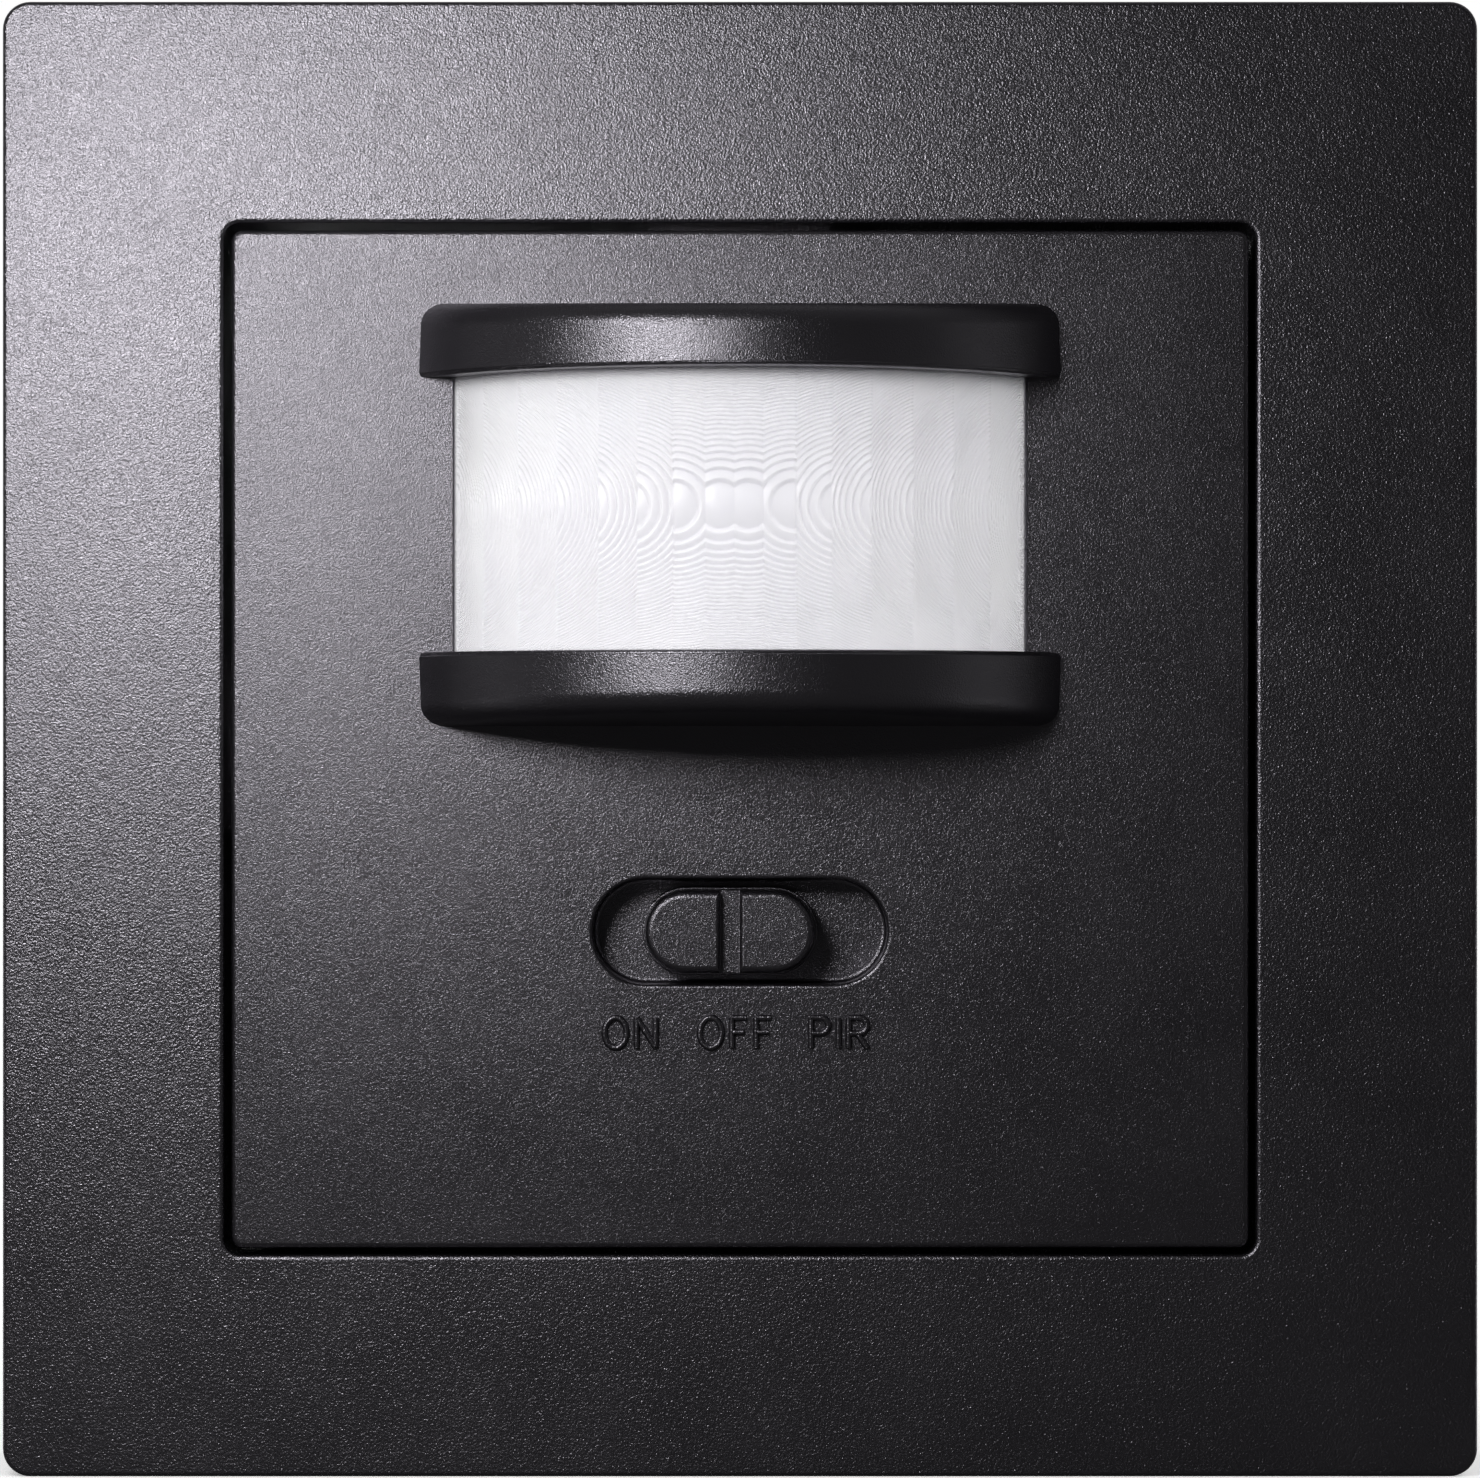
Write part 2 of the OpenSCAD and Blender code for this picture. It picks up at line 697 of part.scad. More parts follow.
// Upper hood: a drafted round brow, cut level at its lip over the lens. The lip is round
// about the point where the hood's tilted axis meets that level
module hood() {
    reach = hood_r + over;
    intersection() {
        translate([0, hood_top, face_z]) rotate([hood_draft, 0, 0]) intersection() {
            translate([0, -hood_depth, -lens_axis_depth])
                rotate([-90, 0, 0]) rotate_extrude() hood_section();
            translate([-reach, -hood_depth - over, -plate_t / 2])
                cube([2 * reach, hood_depth + 2 * over, reach]);
        }
        translate([0, lip_y, face_z - lip_axis_depth]) rotate([-90, 0, 0]) rotate_extrude() {
            square([hood_lip_r - lip_round, lip_round]);
            translate([hood_lip_r - lip_round, lip_round]) mirror([0, 1]) quarter_disc(lip_round);
            polygon([
                [0, lip_round],
                [hood_lip_r, lip_round],
                [reach, lip_round + reach - hood_lip_r],
                [reach, hood_depth],
                [0, hood_depth]
            ]);
        }
    }
}

module both_hoods() {
    hood();
    translate([0, window_y, 0]) mirror([0, 1, 0]) translate([0, -window_y, 0]) hood();
}

module slider_recess() {
    translate([0, slot_y, floor_z]) racetrack(slot_w - slot_h)
        recess_section(slot_h / 2, slot_fillet_r, slot_rim_r, slot_depth);
    translate([slider_rest_x, slot_y, 0])
        block([stem_slot_w, stem_slot_h], floor_rear - over, floor_z + over);
}

// Spring clip that hooks under the inner cover
module plate_clip() {
    hook_end = yoke_t + 1.5 * seat_gap;
    hook_y = cover_w / 2 - clip_hook;
    hook_top = flange_front - seat_gap;
    translate([clip_spread - clip_w / 2, 0, 0]) rotate([90, 0, 90]) linear_extrude(clip_w) polygon([
        [clip_y, plate_rear + seat_gap],
        [clip_y, hook_top],
        [hook_y, hook_top],
        [clip_y, hook_end],
        [clip_y + clip_t, hook_end],
        [clip_y + clip_t, plate_rear + seat_gap]
    ]);
}

module carrier_rails() {
    rail_w = carrier_w + 2 * slider_travel;
    rail_y = carrier_h / 2 + slide_gap + rail_t / 2;
    for (s = [-1, 1])
        translate([slider_rest_x, slot_y + s * rail_y, 0])
            block([rail_w, rail_t], carrier_rear, plate_rear + seat_gap);
}

module lens_stakes() {
    translate([0, window_y, 0]) on_corners() translate([stake_x, stake_y, 0]) {
        bar(stake_r, retainer_z - seat_gap, plate_rear + seat_gap);
        bar(stake_head_r, retainer_z - stake_head_h, retainer_z);
    }
}

module centre_plate() {
    inner_w = plate_w - 2 * plate_wall;
    color(anthracite)
    difference() {
        union() {
            difference() {
                translate([0, 0, plate_skirt_z])
                    swept_slab(plate_w, plate_w, plate_corner_r, plate_skirt_depth, $fn = small_fn)
                    edge_section(plate_corner_r, plate_edge_r, plate_skirt_depth, $fn = small_fn);
                between(plate_skirt_z - over, plate_rear) square(inner_w, center = true);
            }
            both_hoods();
            translate([0, slot_y, 0]) between(floor_rear, plate_rear + plate_t / 2)
                slot_outline(slot_w + 2 * tub_wall, slot_h + 2 * tub_wall);
            on_corners() plate_clip();
            carrier_rails();
            lens_stakes();
        }
        translate([0, window_y - lens_h / 2 - lens_gap, axis_z]) rotate([-90, 0, 0])
            cylinder(r = cavity_r, h = lens_h + 2 * lens_gap);
        slider_recess();
    }
}

module fresnel_lens() {
    color(lens_white)
    union() {
        intersection() {
            translate([0, window_y - lens_h / 2, axis_z]) rotate([-90, 0, 0]) difference() {
                cylinder(r = lens_r, h = lens_h);
                translate([0, 0, -over]) cylinder(r = lens_r - lens_t, h = lens_h + 2 * over);
            }
            translate([-lens_r, 0, flange_z]) cube([2 * lens_r, hood_top, 2 * lens_r]);
        }
        translate([0, window_y, 0]) between(flange_z, plate_rear) difference() {
            square([flange_w, flange_h], center = true);
            square([2 * (window_rear - 2 * lens_t), lens_h - 2 * lens_t], center = true);
            on_corners() translate([stake_x, stake_y]) circle(stake_r + lens_gap);
        }
    }
}

module lens_retainer() {
    color(black_plastic)
    translate([0, window_y, 0]) between(retainer_z, flange_z) difference() {
        round_rect(flange_w, flange_h, lens_seat / 3);
        square([2 * (window_rear - 2 * lens_t), lens_h - 2 * lens_t], center = true);
        on_corners() translate([stake_x, stake_y]) circle(stake_r + lens_gap);
    }
}

// Edge of the knob: a low step round its foot, drafted sides and a round top edge
module knob_section() {
    side = knob_h / 2 - knob_step;
    shoulder = side - knob_draft;
    height = knob_top - knob_foot;
    edge_section(knob_h / 2, knob_step_round, knob_step_h);
    polygon([
        [0, 0],
        [side, 0],
        [side, knob_step_h],
        [shoulder, height - knob_round],
        [0, height - knob_round]
    ]);
    translate([0, height - knob_round]) square([shoulder - knob_round, knob_round]);
    translate([shoulder - knob_round, height - knob_round]) quarter_disc(knob_round);
}

module knob_groove() {
    translate([0, 0, knob_top - groove_depth])
        rotate([90, 0, 0]) linear_extrude(knob_h + over, center = true)
        for (s = [0, 1])
            mirror([s, 0]) recess_section(groove_w / 2, groove_fillet_r, groove_round, groove_depth);
}

module mode_slider() {
    barb_z = carrier_rear - seat_gap;
    color(knob_black)
    translate([slider_rest_x, slot_y, 0]) difference() {
        union() {
            translate([0, 0, knob_foot]) racetrack(knob_w - knob_h) knob_section();
            block([stem_w, stem_h], stem_end, knob_foot + seat_gap);
            block([stem_w, stem_h + 2 * stem_barb], stem_end, barb_z);
        }
        knob_groove();
        block([stem_w + over, stem_split], stem_end - over, carrier_front);
    }
}

module slider_carrier() {
    color(black_plastic)
    translate([slider_rest_x, slot_y, 0]) {
        between(carrier_rear, carrier_front) difference() {
            square([carrier_w, carrier_h], center = true);
            square([stem_w + 2 * pin_gap, stem_h + 2 * pin_gap], center = true);
        }
        for (s = [-1, 1])
            translate([s * (lever_w / 2 + lead_gap + prong_t / 2), 0, 0])
                block([prong_t, lever_h + 2 * cover_gap], prong_end, carrier_rear);
    }
}

// Structure in and on the wall

module inner_cover() {
    sensor_hole_r = can_r + can_rim + cover_gap;
    color(grey_plastic)
    difference() {
        between(flange_front, cover_front) round_rect(cover_w, cover_w, cover_corner_r);
        translate([0, window_y, flange_front - over / 2])
            cylinder(r1 = sensor_hole_r, r2 = sensor_hole_r + cover_t + over, h = cover_t + over);
        translate([ldr_at.x, ldr_at.y, 0]) bar(ldr_r + cover_gap, flange_front - over, cover_front + over);
        drill(trimmer_places, rotor_r + cover_gap, flange_front, cover_front);
        translate([switch_at.x, switch_at.y, 0])
            block(
                [lever_w + 2 * slider_travel + 2 * cover_gap, lever_h + 2 * cover_gap],
                flange_front - over, cover_front + over
            );
        on_corners() translate([screw_spread, screw_spread, 0])
            bar(screw_r + 2 * lead_gap, flange_front - over, cover_front + over);
    }
}

module cover_screws() {
    slot_t = screw_head_r / 3;
    head_top = cover_front + screw_head_h;
    color(steel)
    on_corners() translate([screw_spread, screw_spread, 0]) difference() {
        union() {
            bar(screw_r, seat_gap, cover_front);
            bar(screw_head_r, cover_front, head_top);
        }
        block([2 * screw_head_r + over, slot_t], head_top - screw_head_h / 2, head_top + over);
        block([slot_t, 2 * screw_head_r + over], head_top - screw_head_h / 2, head_top + over);
    }
}

module mounting_yoke() {
    color(steel) {
        between(0, yoke_t) difference() {
            round_rect(yoke_w, yoke_w, yoke_corner_r);
            circle(yoke_opening_r);
            for (a = [0:90:270])
                rotate(a) translate([box_screw_spacing / 2, 0]) slot_outline(box_slot_w, 2 * box_slot_r);
            on_corners() translate([screw_spread, screw_spread]) circle(screw_r + pin_gap);
        }
        for (s = [-1, 1])
            translate([s * (yoke_w - yoke_t) / 2, 0, 0]) block([yoke_t, yoke_fold_w], yoke_t, yoke_fold_h);
    }
}

module rear_housing() {
    inner_r = cup_r - cup_wall;
    color(grey_plastic)
    difference() {
        union() {
            difference() {
                union() {
                    bar(cup_r, cup_rear, flange_front);
                    between(yoke_t, flange_front) round_rect(cup_flange_w, cup_flange_w, cover_corner_r);
                }
                bar(inner_r, cup_floor, flange_front + over);
            }
            between(board_rear - ledge_h, board_rear) difference() {
                circle(inner_r + cup_wall / 2);
                circle(ledge_r);
            }
            for (a = [0:60:180])
                rotate(a) translate([pad_ring, 0, 0]) bar(pad_r, cup_floor - cup_wall / 2, power_rear);
        }
        translate([0, terminal_y, 0])
            block([block_w + 2 * board_gap, terminal_h + 2 * board_gap], cup_rear - over, cup_floor + over);
        on_corners() translate([screw_spread, screw_spread, 0])
            bar(screw_r + 2 * lead_gap, yoke_t - over, flange_front + over);
    }
}

// Sensor board and what stands on it

module sensor_board() {
    color(board_green)
    difference() {
        bar(board_r, board_rear, board_front);
        drill(concat(pir_pins, ldr_pins, switch_pins, trimmer_pins, link_pins_at),
            lead_r + lead_gap, board_rear, board_front);
    }
}

module pir_header() {
    color(tin)
    union() {
        translate([0, window_y, 0]) bar(can_r - can_t - pin_gap, can_foot, can_foot + 2 * rim_h);
        leads(pir_pins, lead_r, board_rear - lead_tail, can_foot + rim_h);
    }
}

module pir_can() {
    color(steel)
    translate([0, window_y, 0]) difference() {
        union() {
            bar(can_r, can_foot, can_top);
            bar(can_r + can_rim, can_foot, can_foot + rim_h);
        }
        bar(can_r - can_t, can_foot - over, can_top - can_t);
        block([ir_window_w, ir_window_h], can_top - can_t - over, can_top + over);
    }
}

module pir_window() {
    filter_front = can_top - can_t;
    color("#4b4a52")
    translate([0, window_y, 0])
        block([ir_window_w + 2 * ir_margin, ir_window_h + 2 * ir_margin], filter_front - ir_t, filter_front);
}

module light_sensor() {
    flat_h = 1.7 * ldr_r;
    color("#c98f4a")
    union() {
        translate([ldr_at.x, ldr_at.y, 0]) between(ldr_top - ldr_t, ldr_top) intersection() {
            circle(ldr_r);
            square([2 * ldr_r, flat_h], center = true);
        }
        leads(ldr_pins, lead_r, board_rear - lead_tail, ldr_top - ldr_t / 2);
    }
}

module switch_base() {
    color("#8a5a34")
    difference() {
        translate([switch_at.x, switch_at.y, 0])
            block(
                [switch_w - 2 * switch_sheet - 2 * pin_gap, switch_h - 2 * switch_sheet - 2 * pin_gap],
                switch_foot, switch_base_top
            );
        drill(switch_pins, lead_r + pin_gap, switch_foot, switch_base_top);
    }
}

module switch_shell() {
    color(steel)
    translate([switch_at.x, switch_at.y, 0]) difference() {
        block([switch_w, switch_h], switch_foot, switch_top);
        block(
            [switch_w - 2 * switch_sheet, switch_h - 2 * switch_sheet],
            switch_foot - over, switch_top - switch_sheet
        );
        block(
            [lever_w + 2 * slider_travel + 2 * cover_gap, lever_h + 2 * cover_gap],
            switch_top - over, switch_top + over
        );
    }
}

module switch_terminals() {
    head_r = slider_travel / 3;
    color(tin)
    for (p = switch_pins)
        translate([p.x, p.y, 0]) {
            bar(lead_r, board_rear - lead_tail, switch_base_top);
            bar(head_r, switch_base_top, switch_base_top + contact_t);
        }
}

module switch_actuator() {
    body_h = switch_h - 2 * switch_sheet - 2 * cover_gap;
    color(black_plastic)
    translate([switch_at.x, switch_at.y, 0]) {
        block([actuator_w, body_h], contact_top, actuator_top);
        block([lever_w, lever_h], actuator_top, lever_tip);
    }
}

module switch_contact() {
    color(brass)
    translate([switch_at.x, switch_at.y, 0])
        block([1.6 * slider_travel, lever_h], contact_top - contact_t, contact_top);
}

module trimmer_body(at) {
    color("#3f6fb0")
    difference() {
        union() {
            translate([at.x, at.y, 0])
                between(trimmer_foot, trimmer_top) round_rect(trimmer_w, trimmer_w, trimmer_w / 10);
            leads([for (lead = trimmer_leads) at + lead], lead_r, board_rear - lead_tail, trimmer_foot);
        }
        translate([at.x, at.y, 0])
            bar(spigot_r + spigot_gap, trimmer_top - spigot_h, trimmer_top + over);
    }
}

module trimmer_rotor(at) {
    slot_t = rotor_r / 4;
    slot_floor = rotor_foot + rotor_t / 2;
    color("#e6e2d6")
    translate([at.x, at.y, 0]) difference() {
        union() {
            bar(spigot_r, rotor_foot - spigot_h, rotor_foot);
            bar(rotor_r, rotor_foot, rotor_foot + rotor_t);
        }
        block([1.5 * rotor_r, slot_t], slot_floor, rotor_foot + rotor_t + over);
        block([slot_t, 1.5 * rotor_r], slot_floor, rotor_foot + rotor_t + over);
    }
}

module time_trimmer_body() {
    trimmer_body(trimmer_places[0]);
}

module time_trimmer_rotor() {
    trimmer_rotor(trimmer_places[0]);
}

module lux_trimmer_body() {
    trimmer_body(trimmer_places[1]);
}

module lux_trimmer_rotor() {
    trimmer_rotor(trimmer_places[1]);
}

// Flat chip with gull-wing legs, on the back of the sensor board
module control_chip() {
    chip = [9.9, 3.9];
    chip_at = [0, window_y - pir_pin_ring - lead_tail - chip.y];
    chip_h = 1.5;
    leg_count = 8;
    leg_pitch = 1.27;
    leg = [0.4, 1.1];
    leg_t = 0.2;
    color(black_plastic)
    translate([chip_at.x, chip_at.y, 0]) {
        block(chip, board_rear - chip_h, board_rear - leg_t / 2);
        for (i = [0:leg_count - 1], s = [-1, 1])
            translate([(i - (leg_count - 1) / 2) * leg_pitch, s * (chip.y + leg.y) / 2, 0])
                block([leg.x, leg.y + leg_t], board_rear - leg_t, board_rear);
    }
}

module link_header() {
    color(black_plastic)
    difference() {
        translate([0, link_y, 0])
            block([link_strip.x, link_strip.y], board_rear - link_strip.z, board_rear);
        drill(link_pins_at, lead_r + pin_gap, board_rear - link_strip.z, board_rear);
    }
}

module link_pins() {
    color(brass)
    leads(link_pins_at, lead_r, power_rear - lead_tail, board_front + lead_tail / 2);
}

// Power board and what stands on it

module power_board() {
    color(board_green)
    difference() {
        bar(power_r, power_rear, power_front);
        drill(concat(power_leads, link_pins_at, terminal_pins), lead_r + lead_gap, power_rear, power_front);
    }
}

module relay() {
    edge = 0.6;
    color("#2a5fa3")
    union() {
        translate([relay_at.x, relay_at.y, 0])
            between(power_front, power_front + relay_h) round_rect(relay_w, relay_l, edge);
        leads(relay_pins, lead_r, power_rear - lead_tail, power_front);
    }
}

module film_capacitor() {
    color("#c7b23a")
    union() {
        translate([film_at.x, film_at.y, 0])
            between(power_front, power_front + film_h) round_rect(film_w, film_l, film_l / 8);
        leads(film_pins, lead_r, power_rear - lead_tail, power_front);
    }
}

// Can capacitors with the crimped neck near the foot
module smoothing_capacitors() {
    neck = 0.35;
    color("#23262e") {
        for (i = [0, 1])
            translate([cap_at[i].x, cap_at[i].y, power_front]) rotate_extrude() polygon([
                [0, 0],
                [cap_r[i], 0],
                [cap_r[i], cap_r[i] / 3],
                [cap_r[i] - neck, cap_r[i] / 2],
                [cap_r[i], 2 * cap_r[i] / 3],
                [cap_r[i], cap_h[i] - neck],
                [cap_r[i] - neck, cap_h[i]],
                [0, cap_h[i]]
            ]);
        leads(cap_pins, lead_r, power_rear - lead_tail, power_front);
    }
}

module varistor() {
    color("#2f66c4")
    union() {
        translate([varistor_at.x, varistor_at.y, power_front + varistor_r + lead_gap]) rotate([0, 90, 0])
            cylinder(r = varistor_r, h = varistor_t, center = true);
        leads(varistor_pins, lead_r, power_rear - lead_tail, power_front + varistor_r);
    }
}

// Cartridge fuse with end caps, lying between two bent leads
module fuse() {
    cap_w = fuse_w / 6;
    fuse_z = power_front + fuse_r + lead_gap;
    color("#d9d4c4")
    union() {
        translate([fuse_at.x, fuse_at.y, fuse_z]) rotate([90, 0, 0]) {
            cylinder(r = 0.85 * fuse_r, h = fuse_w, center = true);
            for (s = [-1, 1])
                translate([0, 0, s * (fuse_w - cap_w) / 2]) cylinder(r = fuse_r, h = cap_w, center = true);
            cylinder(r = lead_r, h = fuse_w + 2 * fuse_lead_w, center = true);
        }
        leads(fuse_pins, lead_r, power_rear - lead_tail, fuse_z);
    }
}

module rectifier_diodes() {
    color(black_plastic) {
        for (at = diode_at)
            translate([at.x, at.y, power_front + diode_r])
                rotate([90, 0, 0]) cylinder(r = diode_r, h = diode_w, center = true);
        leads(diode_pins, lead_r, power_rear - lead_tail, power_front + diode_r);
    }
}

// Terminals behind the power board, wires from below and screws from behind

module terminal_block() {
    foot_w = 2;
    cavity = [cage_w + 2 * cage_gap, cage_h + 2 * cage_gap];
    color(grey_plastic)
    difference() {
        translate([0, terminal_y, 0]) {
            block([block_w, terminal_h], block_rear, block_front);
            on_corners() translate([(block_w - foot_w) / 2, (terminal_h - foot_w) / 2, 0])
                block([foot_w, foot_w], block_front, power_rear);
        }
        for (x = terminal_xs_at)
            translate([x, 0, 0]) {
                translate([0, cage_y, 0]) {
                    block(cavity, cage_rear - cage_gap, cage_front + cage_gap);
                    bar(clamp_head_r + 2 * cage_gap, block_rear - over, cage_rear);
                    bar(lead_r + lead_gap, cage_front, block_front + over);
                }
                translate([0, block_foot - over, wire_z]) rotate([-90, 0, 0])
                    cylinder(r = wire_r, h = wire_entry + over);
            }
    }
}

module terminal_cages() {
    color(brass)
    for (x = terminal_xs_at)
        translate([x, cage_y, 0]) difference() {
            union() {
                block([cage_w, cage_h], cage_rear, cage_front);
                bar(lead_r, cage_front, power_front + lead_tail);
            }
            block([cage_w - 2 * cage_t, cage_h + over], clamp_end, cage_front - cage_t);
            bar(clamp_screw_r + pin_gap, cage_rear - over, wire_z);
        }
}

module terminal_screws() {
    slot_t = clamp_head_r / 3;
    slot_floor = clamp_head_front - clamp_head_h / 2;
    color(steel)
    for (x = terminal_xs_at)
        translate([x, cage_y, 0]) difference() {
            union() {
                bar(clamp_screw_r, clamp_head_front, clamp_end);
                bar(clamp_head_r, clamp_head_front - clamp_head_h, clamp_head_front);
            }
            block([2 * clamp_head_r + over, slot_t], block_rear, slot_floor);
        }
}

on_wall() cover_frame();
on_wall() centre_plate();
on_wall() fresnel_lens();
on_wall() lens_retainer();
on_wall() mode_slider();
on_wall() slider_carrier();
on_wall() inner_cover();
on_wall() cover_screws();
on_wall() mounting_yoke();
on_wall() rear_housing();
on_wall() sensor_board();
on_wall() pir_header();
on_wall() pir_can();
on_wall() pir_window();
on_wall() light_sensor();
on_wall() switch_base();
on_wall() switch_shell();
on_wall() switch_terminals();
on_wall() switch_actuator();
on_wall() switch_contact();
on_wall() time_trimmer_body();
on_wall() time_trimmer_rotor();
on_wall() lux_trimmer_body();
on_wall() lux_trimmer_rotor();
on_wall() control_chip();
on_wall() link_header();
on_wall() link_pins();
on_wall() power_board();
on_wall() relay();
on_wall() film_capacitor();
on_wall() smoothing_capacitors();
on_wall() varistor();
on_wall() fuse();
on_wall() rectifier_diodes();
on_wall() terminal_block();
on_wall() terminal_cages();
on_wall() terminal_screws();
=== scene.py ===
"""Looks of the motion sensor light switch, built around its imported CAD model.

The front faces -Y and the wall plane is Y = 0. Sizes are in millimetres, times MM where
Blender takes metres.
"""

import json
import math

import bpy
import numpy as np
from mathutils import Matrix, Vector


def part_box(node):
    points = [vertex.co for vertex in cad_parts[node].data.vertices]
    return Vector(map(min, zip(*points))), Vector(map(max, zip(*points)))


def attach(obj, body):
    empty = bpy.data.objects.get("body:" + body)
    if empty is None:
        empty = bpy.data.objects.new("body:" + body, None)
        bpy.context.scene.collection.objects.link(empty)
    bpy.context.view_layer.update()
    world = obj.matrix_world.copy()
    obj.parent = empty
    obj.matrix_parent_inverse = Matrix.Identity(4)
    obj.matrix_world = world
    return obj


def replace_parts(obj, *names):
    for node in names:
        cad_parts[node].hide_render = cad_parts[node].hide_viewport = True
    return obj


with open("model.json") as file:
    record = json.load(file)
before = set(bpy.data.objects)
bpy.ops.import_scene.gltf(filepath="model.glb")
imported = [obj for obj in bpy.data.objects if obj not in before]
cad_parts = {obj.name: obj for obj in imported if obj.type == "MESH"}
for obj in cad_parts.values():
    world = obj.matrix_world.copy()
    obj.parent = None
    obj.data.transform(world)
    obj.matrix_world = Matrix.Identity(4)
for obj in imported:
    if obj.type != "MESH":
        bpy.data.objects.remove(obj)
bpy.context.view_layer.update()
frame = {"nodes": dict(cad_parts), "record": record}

MM = 0.001
SWITCH = "switch"
WHITE = (1.0, 1.0, 1.0, 1.0)

# Places taken from the CAD
frame_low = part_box("cover_frame")[0]
lens_low, lens_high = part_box("fresnel_lens")
FACE_Y = frame_low[1]
BOTTOM_Z = frame_low[2]


# Shader nodes

def put(tree, value, socket):
    """Links a socket to another node's output, or sets it to a plain value."""
    if isinstance(value, bpy.types.NodeSocket):
        tree.links.new(value, socket)
    else:
        socket.default_value = value


def math_node(tree, operation, first, second):
    node = tree.nodes.new("ShaderNodeMath")
    node.operation = operation
    put(tree, first, node.inputs[0])
    put(tree, second, node.inputs[1])
    return node.outputs["Value"]


def map_range(tree, value, from_low, from_high, to_low, to_high):
    node = tree.nodes.new("ShaderNodeMapRange")
    node.inputs["From Min"].default_value = from_low
    node.inputs["From Max"].default_value = from_high
    node.inputs["To Min"].default_value = to_low
    node.inputs["To Max"].default_value = to_high
    put(tree, value, node.inputs["Value"])
    return node.outputs["Result"]


def mix_node(tree, factor, first, second, kind="FLOAT"):
    node = tree.nodes.new("ShaderNodeMix")
    node.data_type = kind
    put(tree, factor, node.inputs["Factor"])
    put(tree, first, node.inputs["A"])
    put(tree, second, node.inputs["B"])
    return node.outputs["Result"]


# Materials

# Most of Blender's noise lies between these two values
NOISE_LOW = 0.3
NOISE_HIGH = 0.7


def shader_of(material):
    return material.node_tree.nodes["Principled BSDF"]


def new_material(name, color, roughness, metallic=0.0):
    material = bpy.data.materials.new(name)
    material.use_nodes = True
    shader = shader_of(material)
    shader.inputs["Base Color"].default_value = (*color, 1.0)
    shader.inputs["Roughness"].default_value = roughness
    shader.inputs["Metallic"].default_value = metallic
    return material


def object_coordinates(material):
    nodes = material.node_tree.nodes
    for node in nodes:
        if node.bl_idname == "ShaderNodeTexCoord":
            return node.outputs["Object"]
    return nodes.new("ShaderNodeTexCoord").outputs["Object"]


def noise(material, feature, detail):
    """Noise whose features are about the given size in millimetres."""
    tree = material.node_tree
    node = tree.nodes.new("ShaderNodeTexNoise")
    node.inputs["Scale"].default_value = 1.0 / (feature * MM)
    node.inputs["Detail"].default_value = detail
    tree.links.new(object_coordinates(material), node.inputs["Vector"])
    return node.outputs["Fac"]


def patches(material, feature, low, high):
    """A value that drifts from low to high in soft patches of the given size."""
    drift = noise(material, feature, detail=2.0)
    return map_range(material.node_tree, drift, NOISE_LOW, NOISE_HIGH, low, high)


def vary_roughness(material, feature, low, high):
    value = patches(material, feature, low, high)
    material.node_tree.links.new(value, shader_of(material).inputs["Roughness"])


def vary_color(material, feature, first, second):
    tree = material.node_tree
    share = patches(material, feature, 0.0, 1.0)
    color = mix_node(tree, share, (*first, 1.0), (*second, 1.0), kind="RGBA")
    tree.links.new(color, shader_of(material).inputs["Base Color"])


def add_grain(material, *layers):
    """Fine relief made of layers, each with its feature size and depth in millimetres."""
    tree = material.node_tree
    normal = None
    for feature, depth in layers:
        bump = tree.nodes.new("ShaderNodeBump")
        bump.inputs["Strength"].default_value = 1.0
        bump.inputs["Distance"].default_value = depth * MM
        tree.links.new(noise(material, feature, detail=0.0), bump.inputs["Height"])
        if normal:
            tree.links.new(normal, bump.inputs["Normal"])
        normal = bump.outputs["Normal"]
    tree.links.new(normal, shader_of(material).inputs["Normal"])


# Surfaces of the record's material classes. Patches are their size and their range of roughness.
METAL = {"roughness": 0.3, "metallic": 1.0, "patches": (1.5, 0.24, 0.4), "grain": (0.4, 0.002)}
MIRROR = {"roughness": 0.08, "metallic": 1.0}
GLOSS_PLASTIC = {"roughness": 0.25, "metallic": 0.0, "patches": (2.0, 0.2, 0.32), "grain": (0.8, 0.004)}
MATT_PLASTIC = {"roughness": 0.5, "metallic": 0.0, "patches": (1.2, 0.45, 0.6), "grain": (0.25, 0.006)}
SURFACES = {"brushed_steel": METAL, "brass": METAL, "mirror": MIRROR, "gloss_plastic": GLOSS_PLASTIC}


def slot_material(entry):
    """A material for one slot of the record, with the surface its class has."""
    surface = SURFACES.get(entry["class"], MATT_PLASTIC)
    material = new_material(entry["slot"], entry["base_color"], surface["roughness"], surface["metallic"])
    if surface is not MIRROR:
        vary_roughness(material, *surface["patches"])
        add_grain(material, surface["grain"])
    return material


# Dark plastic of the visible shells, with a visible moulded grain and a finer one that makes it matt
FRAME_GRAIN = (0.11, 0.023), (0.05, 0.016)
PLATE_GRAIN = (0.11, 0.012), (0.05, 0.0165)
KNOB_GRAIN = (0.11, 0.009), (0.05, 0.0165)
FRAME_GLOSS = 1.0
PLATE_GLOSS = 0.86
SHELL_COLOR = (0.0026, 0.0021, 0.0033)
SHELL_TINT = (0.95, 0.91, 1.0)
SHELL_IOR = 1.96
SHELL_ROUGHNESS = 0.3
SHELL_PATCHES = (6.0, 0.28, 0.32)


def moulded_plastic(name, grain, gloss):
    material = new_material(name + "_grained", SHELL_COLOR, SHELL_ROUGHNESS)
    shader = shader_of(material)
    shader.inputs["Specular Tint"].default_value = (*SHELL_TINT, 1.0)
    shader.inputs["Specular IOR Level"].default_value = gloss
    shader.inputs["IOR"].default_value = SHELL_IOR
    vary_roughness(material, *SHELL_PATCHES)
    add_grain(material, *grain)
    return material


